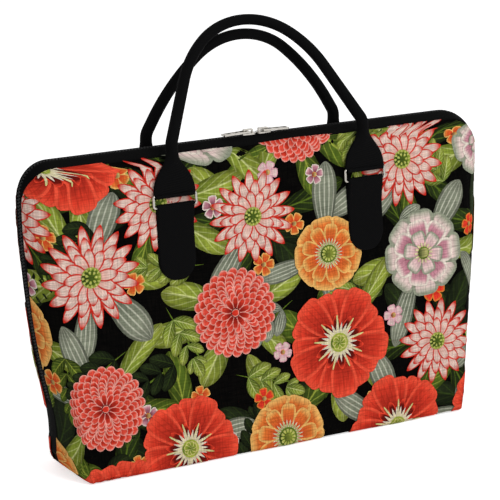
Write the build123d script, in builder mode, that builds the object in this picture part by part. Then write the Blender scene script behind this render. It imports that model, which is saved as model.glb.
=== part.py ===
from build123d import *
import os
from math import atan2, cos, degrees, radians, sin

# Laptop bag in padded printed cloth: a wedge standing on a flat base, closed by a zip
# that runs over the top and down both sides, with two rolled handles on wire rings.
# Millimetres. Origin at the middle of the base, front at -Y, up +Z.

# Bag
bag_width = 400.0
bag_height = 250.0
base_width = 344.0
base_depth = 72.0
top_depth = 40.0
corner_radius = 24.0
side_roll = 20.0
top_roll = 5.0
base_roll = 1.5
roll_fullness = 1.5
panel_wall = 5.0

# Black zip gusset let in between the front and the back, with the zip along its crest
gusset_top_width = 32.0
gusset_foot_width = 16.0
gusset_foot = 12.0
gusset_cloth = 1.6
seam_lap = 0.5
crest_side = 3.0
crest_top = 5.0

# Zip
zip_foot = 62.0
chain_width = 6.0
chain_gap = 1.2
tooth_pitch = 5.0
tooth_length = 3.0
tooth_proud = 0.3
tooth_root = 0.8
tooth_sink = 0.4

# Sliders and their pulls
slider_length = 12.6
slider_width = 8.6
slider_tail_width = 6.6
slider_nose_round = 3.1
slider_tail_round = 1.3
slider_plate = 1.2
slider_foot_plate = 1.0
slider_clearance = 0.3
slider_sole_drop = 0.8
slider_gap = 0.6
neck_width = 0.8
neck_length = 4.0
neck_place = 3.0
bridge_width = 2.4
bridge_span = 8.4
bridge_strap = 1.0
bridge_round = 0.8
pull_length = 23.0
pull_width = 7.0
pull_thickness = 1.3
pull_rail = 1.3
pull_bar_radius = 0.7
pull_windows = 3
pull_tilt = 2.0

# Rings, tabs and handles
ring_spread = 84.0
ring_drop = 42.0
ring_wire = 2.2
ring_pitch = 9.0
ring_stand_off = 3.6
strap_width = 33.0
strap_play = 0.3
wire_play = 0.15
tab_length = 64.0
tab_layer = 1.2
tab_taper = 18.0
strap_layer = 1.6
leaf_shoulder_rise = 16.5
leaf_waist_rise = 20.5
leaf_waist_half_width = 7.3
neck_half_width = 5.2
tube_radius = 4.5
crown_angle = 50.0
crown_radius = 60.0
neck_bend_radius = 14.0
neck_rise = 6.0
front_arch_rise = 92.0
front_arch_lean = 25.6
front_leg_slant = 25.0
back_arch_rise = 71.0
back_arch_lean = 1.0
back_leg_slant = 30.5

# The strap rolls up into a tube along its leaf: share of the leaf, half width, half depth
roll_up = ((0.22, 11.0, 1.0), (0.55, 7.6, 2.3), (0.8, 5.4, 3.0), (1.0, tube_radius, tube_radius))

os.makedirs("parts", exist_ok=True)

# Values worked out from the ones above
panel_tilt = degrees(atan2((base_depth - top_depth) / 2, bag_height))
wire_radius = ring_wire / 2
ring_height = bag_height - ring_drop
upper_bar = ring_height + ring_pitch
leaf_height = ring_drop - ring_pitch
tab_eye = wire_radius + wire_play + tab_layer
strap_eye = wire_radius + wire_play + strap_layer
neck_height = upper_bar + leaf_height
slider_top = bag_height + tooth_proud + slider_clearance + slider_plate
pull_axis_height = slider_top + slider_clearance + pull_bar_radius
slider_centre = (slider_length + slider_gap) / 2


def gusset_half(height):
    """Half width of the gusset, which widens evenly from its foot to the top of the bag."""
    share = height / bag_height
    return (gusset_foot_width + (gusset_top_width - gusset_foot_width) * share) / 2


def seam_half(height):
    """Half width of the opening between the seams, where each panel laps onto the gusset."""
    return gusset_half(height) - seam_lap


def leaning_plane(y_foot, y_top):
    """Plane through two lines along X: one on the floor and one at the height of the bag."""
    lean = atan2(y_top - y_foot, bag_height)
    return Plane(origin=(0, y_foot, 0), x_dir=(1, 0, 0), z_dir=(0, -cos(lean), sin(lean)))


def silhouette(plane, inset, side_inset=0.0, top_inset=0.0, base_inset=0.0):
    """Bag seen from the front: flat base, bowed sides and rounded upper corners."""
    foot = inset / plane.y_dir.Z
    half_base = base_width / 2 - inset - base_inset
    half_width = bag_width / 2 - inset - side_inset
    top = bag_height - inset - top_inset
    corner = corner_radius - inset
    with BuildSketch(plane) as outline:
        with BuildLine():
            Line((-half_base, foot), (half_base, foot))
            Line((half_width - corner, top), (corner - half_width, top))
            for side in (1, -1):
                shoulder = (side * half_width, top - corner)
                TangentArc(shoulder, (side * half_base, foot), tangent=(0, -1))
                TangentArc(shoulder, (side * (half_width - corner), top), tangent=(0, 1))
        make_face()
    return outline.sketch


def prism(inset, start, depth):
    """Slab with the outline of the bag, from Y = start and as deep as given."""
    with BuildPart() as slab:
        add(silhouette(Plane.XZ.offset(-start), inset))
        extrude(amount=depth, dir=(0, 1, 0))
    return slab.part


def wedge(half_foot, half_top, foot=0.0, top=bag_height):
    """Slab as wide as the bag, whose front and back faces lean towards each other."""
    with BuildPart() as slab:
        with BuildSketch(Plane.YZ.offset(-bag_width)):
            with BuildLine():
                Polyline(
                    (-half_foot, foot), (half_foot, foot), (half_top, top), (-half_top, top), close=True
                )
            make_face()
        extrude(amount=2 * bag_width, dir=(1, 0, 0))
    return slab.part


def seam_silhouette(inset, side):
    """Outline of the bag at the front (-1) or back (1) seam, lower than the crest of the gusset."""
    plane = leaning_plane(-gusset_half(0), -gusset_half(bag_height))
    outline = silhouette(plane, inset, crest_side, crest_top)
    return outline if side < 0 else mirror(outline, about=Plane.XZ, mode=Mode.PRIVATE)


def bag_form(inset):
    """Whole wedge of the bag: a core between the seams and a rolled-over panel each side."""
    seam_foot = gusset_half(0)
    seam_top = gusset_half(bag_height)
    with BuildPart() as form:
        for out in (0, 0.3, 0.6, 0.85, 1):
            roll = 1 - (1 - out**roll_fullness) ** (1 / roll_fullness)
            y_foot = seam_foot + (base_depth / 2 - inset - seam_foot) * out
            y_top = seam_top + (top_depth / 2 - inset - seam_top) * out
            side_inset = crest_side + side_roll * roll
            top_inset = crest_top + top_roll * roll
            add(silhouette(leaning_plane(-y_foot, -y_top), inset, side_inset, top_inset, base_roll * roll))
        loft()
        mirror(about=Plane.XZ)
        add(seam_silhouette(inset, -1))
        add(seam_silhouette(inset, 1))
        loft()
    return form.part


def keep(part, name):
    """Label a finished piece and write it out."""
    part.label = name
    export_step(part, f"parts/{name}.step")


# Cloth body: front, base and back in one folded piece, open where the gusset is let in
slot_top = bag_height + panel_wall
with BuildPart() as cloth_body:
    add(bag_form(0))
    add(bag_form(panel_wall), mode=Mode.SUBTRACT)
    add(wedge(seam_half(gusset_foot), seam_half(slot_top), gusset_foot, slot_top), mode=Mode.SUBTRACT)
keep(cloth_body.part, "cloth_body")


# Gusset: a black strip each side of the zip, sloping down to its seam, and one piece at
# each foot
def half_gusset(inner_edge, foot, top):
    """Front half of the gusset from an edge near the zip to the seam, between two heights."""
    with BuildPart() as strip:
        for inset in (0, gusset_cloth):
            with BuildPart(mode=Mode.PRIVATE) as layer:
                add(silhouette(Plane.XZ.offset(inner_edge), inset))
                add(seam_silhouette(inset, -1))
                loft()
            add(layer.part, mode=Mode.SUBTRACT if inset else Mode.ADD)
        add(wedge(seam_half(foot), seam_half(top), foot, top), mode=Mode.INTERSECT)
    return strip.part


chain_half = chain_width / 2
gusset_front = half_gusset(chain_half, zip_foot, slot_top)
keep(gusset_front, "gusset_front")
keep(mirror(gusset_front, about=Plane.XZ), "gusset_back")

foot_half = half_gusset(0, gusset_foot, zip_foot)
for name, side_plane in (("side_gusset_left", Plane.ZY), ("side_gusset_right", Plane.YZ)):
    with BuildPart() as side_gusset:
        add(foot_half)
        mirror(about=Plane.XZ)
        split(bisect_by=side_plane)
    keep(side_gusset.part, name)


# Zip chain: a row of teeth on the edge of each strip, half a pitch apart, split down the
# middle so that the sliders can pass
def band(outer, inner, start, depth):
    """Strip that follows the outline of the bag, between two insets from it."""
    with BuildPart() as strip:
        add(prism(outer, start, depth))
        add(prism(inner, start, depth), mode=Mode.SUBTRACT)
    return strip.part


def tooth_places(shift):
    """Places of the teeth on the right half, measured along the top and down the side."""
    middle = (tooth_root - tooth_proud) / 2
    half_width = bag_width / 2 - middle
    top = bag_height - middle
    corner = corner_radius - middle
    with BuildLine() as track:
        Line((0, top), (half_width - corner, top))
        TangentArc((half_width - corner, top), (half_width, top - corner), tangent=(1, 0))
        TangentArc((half_width, top - corner), (base_width / 2 - middle, 0), tangent=(0, -1))
    wire = track.wire()
    places = []
    count = int(wire.length / tooth_pitch)
    for index in range(count):
        distance = (index + shift) * tooth_pitch
        share = distance / wire.length
        if share < 1 and (wire @ share).Y > zip_foot + tooth_length / 2:
            heading = wire % share
            turn = degrees(atan2(heading.Y, heading.X))
            places.append(Location(((wire @ share).X, (wire @ share).Y), turn))
    return places


tooth_height = tooth_root + tooth_proud
row_depth = chain_half - chain_gap / 2
for name, row_start, shift in (("zip_teeth_front", -chain_half, 0), ("zip_teeth_back", chain_gap / 2, 0.5)):
    with BuildPart() as teeth:
        with BuildSketch(Plane.XZ.offset(-row_start)):
            add(band(tooth_root, gusset_cloth, 0, 1).faces().sort_by(Axis.Y)[0])
            with Locations((0, zip_foot / 2)):
                Rectangle(2 * bag_width, zip_foot, mode=Mode.SUBTRACT)
            with Locations(*tooth_places(shift)):
                Rectangle(tooth_length, tooth_height + tooth_sink)
            mirror(about=Plane.YZ)
        extrude(amount=row_depth, dir=(0, 1, 0))
    keep(teeth.part, name)


# Sliders: a plate over the chain and one under it, joined by a neck in the slot, with a
# bridge on top that holds the pull
def slider_plate_outline(height):
    """Shield shape: broad and round at the neck end, narrower at the tail."""
    nose = slider_centre - slider_length / 2
    tail = slider_centre + slider_length / 2
    with BuildSketch(Plane.XY.offset(height)) as shield:
        with BuildLine():
            Polyline(
                (nose, -slider_width / 2),
                (slider_centre, -slider_width / 2),
                (tail, -slider_tail_width / 2),
                (tail, slider_tail_width / 2),
                (slider_centre, slider_width / 2),
                (nose, slider_width / 2),
                close=True,
            )
        make_face()
        fillet(shield.vertices().sort_by(Axis.X)[:2], slider_nose_round)
        fillet(shield.vertices().sort_by(Axis.X)[-2:], slider_tail_round)
    return shield.sketch


slider_sole = bag_height - gusset_cloth - slider_clearance - slider_sole_drop - slider_foot_plate
bridge_room = 2 * (pull_bar_radius + slider_clearance)
with BuildPart() as slider_right:
    add(slider_plate_outline(slider_top - slider_plate))
    extrude(amount=slider_plate, dir=(0, 0, 1))
    add(slider_plate_outline(slider_sole))
    extrude(amount=slider_foot_plate, dir=(0, 0, 1))
    with Locations((slider_centre - slider_length / 2 + neck_place, 0, slider_sole)):
        Box(
            neck_length,
            neck_width,
            slider_top - slider_sole,
            align=(Align.CENTER, Align.CENTER, Align.MIN),
        )
    with BuildSketch(Plane.XZ.offset(-bridge_width / 2)):
        with Locations((slider_centre, slider_top)):
            Rectangle(
                bridge_span, bridge_room + bridge_strap, align=(Align.CENTER, Align.MIN)
            )
            Rectangle(
                bridge_span - 2 * bridge_strap,
                bridge_room,
                align=(Align.CENTER, Align.MIN),
                mode=Mode.SUBTRACT,
            )
    extrude(amount=bridge_width, dir=(0, -1, 0))
    crown = slider_right.edges().filter_by(Axis.Y).group_by(Axis.Z)[-1]
    fillet(crown, bridge_round)
keep(slider_right.part, "slider_right")
with BuildPart() as slider_left:
    add(mirror(slider_right.part, about=Plane.YZ, mode=Mode.PRIVATE))
keep(slider_left.part, "slider_left")


# Pulls: a small ladder whose end bar turns under the bridge
pull_axis = Plane(
    origin=(slider_centre, 0, pull_axis_height),
    x_dir=(cos(radians(pull_tilt)), 0, -sin(radians(pull_tilt))),
    z_dir=(sin(radians(pull_tilt)), 0, cos(radians(pull_tilt))),
)
window_pitch = (pull_length - 2 * pull_bar_radius - pull_rail) / pull_windows
with BuildPart() as pull_right:
    with BuildSketch(pull_axis.offset(-pull_thickness / 2)):
        Rectangle(pull_length - pull_bar_radius, pull_width, align=(Align.MIN, Align.CENTER))
        for window in range(pull_windows):
            start = pull_bar_radius + window * window_pitch
            with Locations((start + (pull_rail if window else 0), 0)):
                Rectangle(
                    window_pitch - (pull_rail if window else 0),
                    pull_width - 2 * pull_rail,
                    align=(Align.MIN, Align.CENTER),
                    mode=Mode.SUBTRACT,
                )
    extrude(amount=pull_thickness, dir=pull_axis.z_dir)
    tip = pull_right.edges().filter_by(Axis(pull_axis.origin, pull_axis.z_dir)).sort_by(Axis.X)
    fillet(tip[-2:], pull_rail)
    with Locations(pull_axis):
        Cylinder(pull_bar_radius, pull_width, rotation=(90, 0, 0))
keep(pull_right.part, "pull_right")
with BuildPart() as pull_left:
    add(mirror(pull_right.part, about=Plane.YZ, mode=Mode.PRIVATE))
keep(pull_left.part, "pull_left")


# Rings: rounded rectangles of wire, standing off the panel on their tabs
front_face = leaning_plane(-base_depth / 2, -top_depth / 2)
wire_plane = front_face.offset(ring_stand_off)
ring_half = strap_width / 2 + strap_play + wire_radius


def wire_ring(side):
    """Ring on the front, left (-1) or right (1), as one bent wire."""
    with BuildPart() as ring:
        with BuildLine(wire_plane) as loop:
            FilletPolyline(
                (side * ring_spread - ring_half, ring_height),
                (side * ring_spread + ring_half, ring_height),
                (side * ring_spread + ring_half, upper_bar),
                (side * ring_spread - ring_half, upper_bar),
                radius=strap_play + wire_radius,
                close=True,
            )
        start = loop.wire()
        with BuildSketch(Plane(origin=start @ 0, z_dir=start % 0)):
            Circle(wire_radius)
        sweep()
    return ring.part


def side_view(side):
    """Plane seen along X at one edge of a strap: up the panel is x, out of it is y."""
    edge = front_face.from_local_coords(Vector(side * ring_spread - strap_width / 2, 0, 0))
    return Plane(origin=edge, x_dir=front_face.y_dir, z_dir=(1, 0, 0))


def strap_tab(side):
    """Tab that holds a ring: doubled strap with a round end, thicker towards its eye."""
    centre = side * ring_spread
    round_centre = ring_height - tab_length + strap_width / 2
    with BuildPart() as tab:
        with BuildSketch(front_face):
            with Locations((centre, round_centre)):
                Circle(strap_width / 2)
                Rectangle(
                    strap_width, ring_height - round_centre, align=(Align.CENTER, Align.MIN)
                )
        extrude(amount=2 * tab_layer, dir=front_face.z_dir)
        with BuildSketch(side_view(side)):
            with BuildLine():
                Polyline(
                    (ring_height - tab_taper, 0),
                    (ring_height - tab_taper, 2 * tab_layer),
                    (ring_height, ring_stand_off + tab_eye),
                    (ring_height, ring_stand_off - tab_eye),
                    (ring_height - tab_eye, 0),
                    close=True,
                )
            make_face()
            with Locations((ring_height, ring_stand_off)):
                Circle(tab_eye)
        extrude(amount=strap_width, dir=(1, 0, 0))
        with BuildSketch(side_view(side)):
            with Locations((ring_height, ring_stand_off)):
                Circle(wire_radius + wire_play)
        extrude(amount=strap_width, dir=(1, 0, 0), mode=Mode.SUBTRACT)
    return tab.part


def handle(arch_rise, arch_lean, leg_slant):
    """Rolled strap: a flat leaf on each ring, a bend over the edge of the bag and an arch."""
    slant = radians(leg_slant)
    crown = radians(crown_angle)
    leaf_plane = wire_plane.offset(-strap_layer)
    bend_height = neck_height + neck_rise
    lean = radians(arch_lean)
    arch = Plane(
        origin=wire_plane.from_local_coords(Vector(0, bend_height, 0)),
        x_dir=(1, 0, 0),
        z_dir=(0, -cos(lean), sin(lean)),
    )
    crown_in = crown_radius * cos(crown)
    crown_up = crown_radius * (1 - sin(crown))
    run = ring_spread - crown_in
    rise = arch_rise - crown_up
    span_x = cos(slant) - cos(crown)
    span_y = sin(crown) - sin(slant)
    shoulder_radius = (run * cos(slant) - rise * sin(slant)) / (span_x * cos(slant) - span_y * sin(slant))
    leg = (run - shoulder_radius * span_x) / sin(slant)
    leg_end = (ring_spread - leg * sin(slant), leg * cos(slant))
    shoulder_end = (crown_in, arch_rise - crown_up)

    def in_arch(point):
        return arch.from_local_coords(Vector(point[0], point[1], 0))

    def arch_heading(angle):
        return arch.y_dir * cos(angle) - arch.x_dir * sin(angle)

    with BuildPart() as strap:
        with BuildSketch(leaf_plane):
            with BuildLine():
                Line((ring_spread - strap_width / 2, upper_bar), (ring_spread + strap_width / 2, upper_bar))
                for side in (1, -1):
                    Bezier(
                        (ring_spread + side * strap_width / 2, upper_bar),
                        (ring_spread + side * strap_width / 2, upper_bar + leaf_shoulder_rise),
                        (ring_spread + side * leaf_waist_half_width, upper_bar + leaf_waist_rise),
                        (ring_spread + side * neck_half_width, neck_height - tube_radius),
                    )
                Line(
                    (ring_spread - neck_half_width, neck_height - tube_radius),
                    (ring_spread + neck_half_width, neck_height - tube_radius),
                )
            make_face()
        extrude(amount=2 * strap_layer, dir=front_face.z_dir)
        with BuildSketch(side_view(1)):
            with Locations((upper_bar, ring_stand_off)):
                Circle(strap_eye)
        extrude(amount=strap_width, dir=(1, 0, 0))
        with BuildSketch(side_view(1)):
            with Locations((upper_bar, ring_stand_off)):
                Circle(wire_radius + wire_play)
        extrude(amount=strap_width, dir=(1, 0, 0), mode=Mode.SUBTRACT)
        for share, half_width, half_depth in roll_up:
            centre = wire_plane.from_local_coords(
                Vector(ring_spread, upper_bar + share * leaf_height, 0)
            )
            with BuildSketch(Plane(origin=centre, x_dir=(1, 0, 0), z_dir=wire_plane.y_dir)):
                Ellipse(half_width, half_depth)
        loft()
        neck = wire_plane.from_local_coords(Vector(ring_spread, neck_height, 0))
        with BuildLine():
            FilletPolyline(
                neck, in_arch((ring_spread, 0)), in_arch(leg_end), radius=neck_bend_radius
            )
            TangentArc(in_arch(leg_end), in_arch(shoulder_end), tangent=arch_heading(slant))
            TangentArc(in_arch(shoulder_end), in_arch((0, arch_rise)), tangent=arch_heading(crown))
        with BuildSketch(Plane(origin=neck, x_dir=(1, 0, 0), z_dir=wire_plane.y_dir)):
            Circle(tube_radius)
        sweep()
        mirror(about=Plane.YZ)
    return strap.part


for side, place in ((-1, "left"), (1, "right")):
    ring = wire_ring(side)
    tab = strap_tab(side)
    keep(ring, f"ring_front_{place}")
    keep(tab, f"tab_front_{place}")
    keep(mirror(ring, about=Plane.XZ), f"ring_back_{place}")
    keep(mirror(tab, about=Plane.XZ), f"tab_back_{place}")

keep(handle(front_arch_rise, front_arch_lean, front_leg_slant), "handle_front")
keep(
    mirror(handle(back_arch_rise, back_arch_lean, back_leg_slant), about=Plane.XZ),
    "handle_back",
)
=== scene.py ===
from collections import namedtuple
import bmesh
import bpy
import numpy as np
from mathutils import Matrix, Vector


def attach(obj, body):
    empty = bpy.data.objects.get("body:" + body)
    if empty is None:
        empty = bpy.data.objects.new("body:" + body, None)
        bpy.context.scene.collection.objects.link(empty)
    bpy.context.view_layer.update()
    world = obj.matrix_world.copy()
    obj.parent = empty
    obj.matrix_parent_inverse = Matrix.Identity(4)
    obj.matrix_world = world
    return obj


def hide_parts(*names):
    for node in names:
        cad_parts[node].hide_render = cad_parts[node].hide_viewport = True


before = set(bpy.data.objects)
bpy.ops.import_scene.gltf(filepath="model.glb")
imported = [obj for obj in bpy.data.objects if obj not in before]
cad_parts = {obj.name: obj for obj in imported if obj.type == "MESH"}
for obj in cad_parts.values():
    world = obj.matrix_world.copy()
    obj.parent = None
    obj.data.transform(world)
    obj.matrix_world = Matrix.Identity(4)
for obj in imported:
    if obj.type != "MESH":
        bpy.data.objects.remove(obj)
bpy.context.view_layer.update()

# Padded cloth body
# Front, base and back are one folded piece of linen-look cloth over foam. The panels
# lean towards each other and roll over at the sides and the top to the gusset's seam.
# All lengths are in mm, and u, v are coordinates on the flat panel, across and up.
mm = 0.001
bag_height, lean_run = 250.0, 16.0
lean = np.arctan2(lean_run, bag_height)
face_depth_foot, face_depth_top = 36.0, 20.0
seam_side, seam_top = 6.0, 16.0
foot_half, foot_roll = 170.5, 1.5
face_half, side_roll = 177.0, 22.0
face_top, top_roll = 240.0, 5.0
corner_radius = 24.0
corner_x, shoulder_v = face_half - corner_radius, face_top - corner_radius
fold_radius, base_clearance = 4.0, 1.0
under_v = fold_radius - fold_radius * np.pi / 2
base_middle_v = under_v - (face_depth_foot - fold_radius)
gusset_foot_z = 12.0
ring_spread, tab_quiet = 84.0, 30.0

# Soft give: how far the cloth bows, draws in, hangs, bulges, lifts and hollows, and the
# lengths over which each of these starts and fades.
side_bow, foot_draw, bow_half = 1.8, 3.7, 190.0
corner_hang, hang_start, hang_run = 4.5, 170.0, 30.0
edge_start, edge_run, edge_depth = 130.0, 38.0, 35.0
edge_bulge, bulge_fade, edge_rise, rise_fade = 12.0, 34.0, 11.0, 17.0
hollow_depth, thinner_below = 1.2, 0.4


def bowed_half_width(height, reach, foot, shoulder):
    """Half width at a height: an arc that stands upright at the shoulder, as far out as
    reach, and comes in to foot at the floor."""
    step = reach - foot
    radius = (step**2 + shoulder**2) / (2 * step)
    below = np.clip(shoulder - height, 0, shoulder)
    return reach - radius + np.sqrt(radius**2 - below**2)


def half_width(height, grow):
    """Half width of a panel. grow goes from 0 on the flat face to 1 at the seam."""
    reach, foot = face_half + side_roll * grow, foot_half + foot_roll * grow
    return bowed_half_width(height, reach, foot, shoulder_v + top_roll * grow)


# The roll is a quarter superellipse with the power 1.5, between a bevel and a circle. Its
# sine and cosine are raised to 4/3, and those of its normal to 2/3. The table of its angle
# against the run along it evens out the steps, for a roll 0.8 times as deep as it is wide.
roll_power, roll_sine, roll_normal, roll_squat, arc_over_chord = 1.5, 4 / 3, 2 / 3, 0.8, 1.05
roll_angles = np.linspace(0, np.pi / 2, 60)
roll_out, roll_in = np.sin(roll_angles) ** roll_sine, np.cos(roll_angles) ** roll_sine
roll_steps_run = np.hypot(np.diff(roll_out), roll_squat * np.diff(roll_in))
roll_run = np.concatenate([[0], np.cumsum(roll_steps_run)])


def seam_depth(swing):
    """Depth of the seam from the bag's middle. swing is the heading of the outline's outward
    side: 0 at the sides, a quarter turn on top, where the zip's band is widest."""
    return seam_side + (seam_top - seam_side) * np.sin(swing) ** 2


def roll_arc(outward, drop):
    """Length of the roll, a little over its chord."""
    return arc_over_chord * np.hypot(outward, drop)


def smooth_share(value, start, run):
    """Goes from 0 at the start to 1 one run further, level at both ends."""
    share = np.clip((value - start) / run, 0, 1)
    return share * share * (3 - 2 * share)


def slump(points):
    """Soft give of the padded cloth. The sides bow out at mid height and draw in at the
    floor, and the top corner on the right hangs a little. Between the two folds of the
    base, the low side edge bulges outwards and lifts off the floor: that move fades with
    the height, with the distance from the side and from the middle of the depth."""
    x, y, z = np.moveaxis(points, -1, 0)
    share = np.clip(z / bag_height, 0, 1)
    hang = corner_hang * smooth_share(x, hang_start, hang_run) * share**4
    x = x * (1 + (side_bow * np.sin(np.pi * share) - foot_draw * (1 - share) ** 4) / bow_half)
    z = z - hang
    edge = smooth_share(np.abs(x), edge_start, edge_run)
    middle = np.clip(1 - (y / edge_depth) ** 2, 0, 1)
    bulge = edge_bulge * edge * middle * np.exp(-((z / bulge_fade) ** 2))
    rise = edge_rise * edge * middle * np.exp(-((z / rise_fade) ** 2))
    return np.stack([x + np.sign(x) * bulge, y, z + rise], axis=-1)


def on_bag(u, v, lift=0.0, side=-1):
    """Lays a flat cloth coordinate on the bag. u runs across and v up the panel, in mm.
    Inside the face it is the leaning plane. Past the face's outline it follows the roll to
    the seam: powered sine outwards in the panel, powered cosine in depth. Below the fold
    it goes round an arc and then along the base. lift moves it along the outward normal.
    Away from the tabs, crossed sine waves press shallow hollows into the face."""
    u, v, lift = np.broadcast_arrays(*(np.asarray(a, dtype=float) for a in (u, v, lift)))
    turn, across, up = np.where(u < 0, -1.0, 1.0), np.abs(u), np.maximum(v, 0)
    # Which part of the outline is nearest, its heading, and how far past it the point is.
    corner = (across > corner_x) & (up > shoulder_v)
    above = ~corner & (up > shoulder_v)
    swing = np.where(corner, np.arctan2(up - shoulder_v, across - corner_x), above * np.pi / 2)
    reach = np.hypot(across - corner_x, up - shoulder_v)
    beyond = np.where(corner, reach - corner_radius, across - half_width(up, 0))
    beyond = np.where(above, up - face_top, beyond)
    share = np.clip(up / bag_height, 0, 1)
    seam = seam_depth(swing)
    face = face_depth_foot + (face_depth_top - face_depth_foot) * share
    outward = np.hypot(side_roll * np.cos(swing), top_roll * np.sin(swing))
    drop = face - seam
    # The angle on the roll, and with it the place outwards, upwards and in depth.
    share_out = np.clip(beyond / roll_arc(outward, drop), 0, 1)
    angle = np.interp(share_out, roll_run / roll_run[-1], roll_angles)
    grow, depth = np.sin(angle) ** roll_sine, np.cos(angle) ** roll_sine
    rolled = beyond > 0
    centre_x, shoulder = corner_x + side_roll * grow, shoulder_v + top_roll * grow
    height = np.where(rolled & ~corner & ~above, up * shoulder / shoulder_v, up)
    x = np.where(rolled & ~corner & ~above, half_width(height, grow), across)
    x = np.where(above, across * centre_x / corner_x, x)
    height = np.where(above & rolled, face_top + top_roll * grow, height)
    round_reach = np.minimum(reach, corner_radius)
    x = np.where(corner, centre_x + round_reach * np.cos(swing), x)
    height = np.where(corner, shoulder + round_reach * np.sin(swing), height)
    # The fold and the base below it, which narrows along the low end of the roll.
    bend = np.clip((fold_radius - v) / fold_radius, 0, np.pi / 2)
    flat_run = np.maximum(under_v - v, 0)
    fold_in = fold_radius * (1 - np.cos(bend)) + flat_run
    z = height * (1 - (1 - np.cos(lean)) * depth)
    z = np.where(v < fold_radius, fold_radius * (1 - np.sin(bend)), z)
    out = seam + (face - seam - fold_in) * depth
    base_share = np.clip((out - seam_side) / (face_depth_foot - seam_side), 0, 1)
    base_edge = foot_half + foot_roll * (1 - base_share**roll_power) ** (1 / roll_power)
    x = np.where(v < under_v, np.minimum(across, foot_half) * base_edge / foot_half, x)
    # Lift and hollows along the outward normal, which turns with the roll and the fold.
    off_tab = 1 - np.exp(-(((across - ring_spread) / tab_quiet) ** 2))
    quiet = off_tab * np.cos(angle) * np.clip(v / tab_quiet, 0, 1)
    hollow = 0.5 + 0.25 * np.sin(u / 52 + v / 61) + 0.25 * np.sin(v / 47 - u / 83)
    below = np.clip((fold_radius - v) / fold_radius, 0, 1)
    proud = lift * (1 - thinner_below * below) - hollow_depth * quiet * hollow
    sideways, forward = np.sin(angle) ** roll_normal / outward, np.cos(angle) ** roll_normal / drop
    size = np.hypot(sideways, forward)
    sideways, forward = sideways / size, forward / size
    x = x + proud * np.cos(swing) * sideways
    out = out + proud * forward * np.cos(bend)
    z = z + proud * (np.sin(swing) * sideways - np.sin(bend) * forward) + base_clearance * below
    return slump(np.stack([turn * x, side * out, z], axis=-1))


def grid_faces(rows, columns, start=0, flip=False):
    """Corner numbers of the squares of a grid whose points are stored row by row."""
    first = start + (np.arange(rows - 1)[:, None] * columns + np.arange(columns - 1)).ravel()
    faces = np.stack([first, first + 1, first + columns + 1, first + columns], axis=1)
    return faces[:, ::-1] if flip else faces


def new_piece(name, corners, faces, material, body):
    """One mesh of corners in mm and of faces by number, which rides on a body."""
    mesh = bpy.data.meshes.new(name)
    mesh.from_pydata((corners * mm).tolist(), [], faces.tolist())
    mesh.materials.append(material)
    piece = bpy.data.objects.new(name, mesh)
    bpy.context.collection.objects.link(piece)
    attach(piece, body)
    return piece


def lay_flat(mesh, cloth, faces):
    """Writes the corners' flat cloth coordinates as the UV map, and shades the mesh smooth."""
    layer = mesh.uv_layers.new(name="cloth")
    layer.data.foreach_set("uv", cloth[faces.ravel()].astype(np.float32).ravel())
    mesh.polygons.foreach_set("use_smooth", [True] * len(mesh.polygons))


def make_piece(name, patches, material, body, weld=0.0):
    """Joins patches into one mesh. A patch is its points in mm, its flat cloth coordinates
    in mm, and whether its faces are turned round. weld is the gap that is closed, in mm."""
    corners, cloth, faces, count = [], [], [], 0
    for points, flat, flip in patches:
        rows, columns = points.shape[:2]
        corners.append(points.reshape(-1, 3))
        cloth.append(np.broadcast_to(flat, (rows, columns, 2)).reshape(-1, 2))
        faces.append(grid_faces(rows, columns, count, flip))
        count += rows * columns
    faces = np.concatenate(faces)
    piece = new_piece(name, np.concatenate(corners), faces, material, body)
    lay_flat(piece.data, np.concatenate(cloth), faces)
    if weld:
        shape = bmesh.new()
        shape.from_mesh(piece.data)
        bmesh.ops.remove_doubles(shape, verts=shape.verts, dist=weld * mm)
        bmesh.ops.dissolve_degenerate(shape, edges=shape.edges, dist=0.001 * mm)
        shape.to_mesh(piece.data)
        shape.free()
    return piece


def thicken(piece, thickness):
    """Gives a cloth surface its thickness, inwards from the side that shows."""
    wall = piece.modifiers.new("thickness", "SOLIDIFY")
    wall.thickness = thickness * mm
    wall.offset = -1.0


def linear(code):
    """Turns an sRGB hex colour into the linear numbers that a shader takes."""
    part = np.array([int(code[i : i + 2], 16) for i in (1, 3, 5)]) / 255
    part = np.where(part <= 0.04045, part / 12.92, ((part + 0.055) / 1.055) ** 2.4)
    return (*part.tolist(), 1.0)


def add_node(material, kind, links=None, **settings):
    """Adds one shader node, sets its properties, and sets or links its inputs."""
    node = material.node_tree.nodes.new(f"ShaderNode{kind}")
    for name, value in settings.items():
        setattr(node, name, value)
    for name, value in (links or {}).items():
        if isinstance(value, bpy.types.NodeSocket):
            material.node_tree.links.new(value, node.inputs[name])
        else:
            node.inputs[name].default_value = value
    return node


def new_material(name):
    """An empty node material with its output."""
    material = bpy.data.materials.new(name)
    material.use_nodes = True
    material.node_tree.nodes.clear()
    return material


def finish_material(material, shader):
    """Joins a shader to the material's output."""
    add_node(material, "OutputMaterial", {"Surface": shader.outputs[0]})


# Linen weave: slubby threads about 1.3 mm apart, coarser than the real 0.6 mm so that they
# show in the render. Long thin noise in each direction gives the thicker threads.
thread_pitch, slub_length = 1.3, 14


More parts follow.
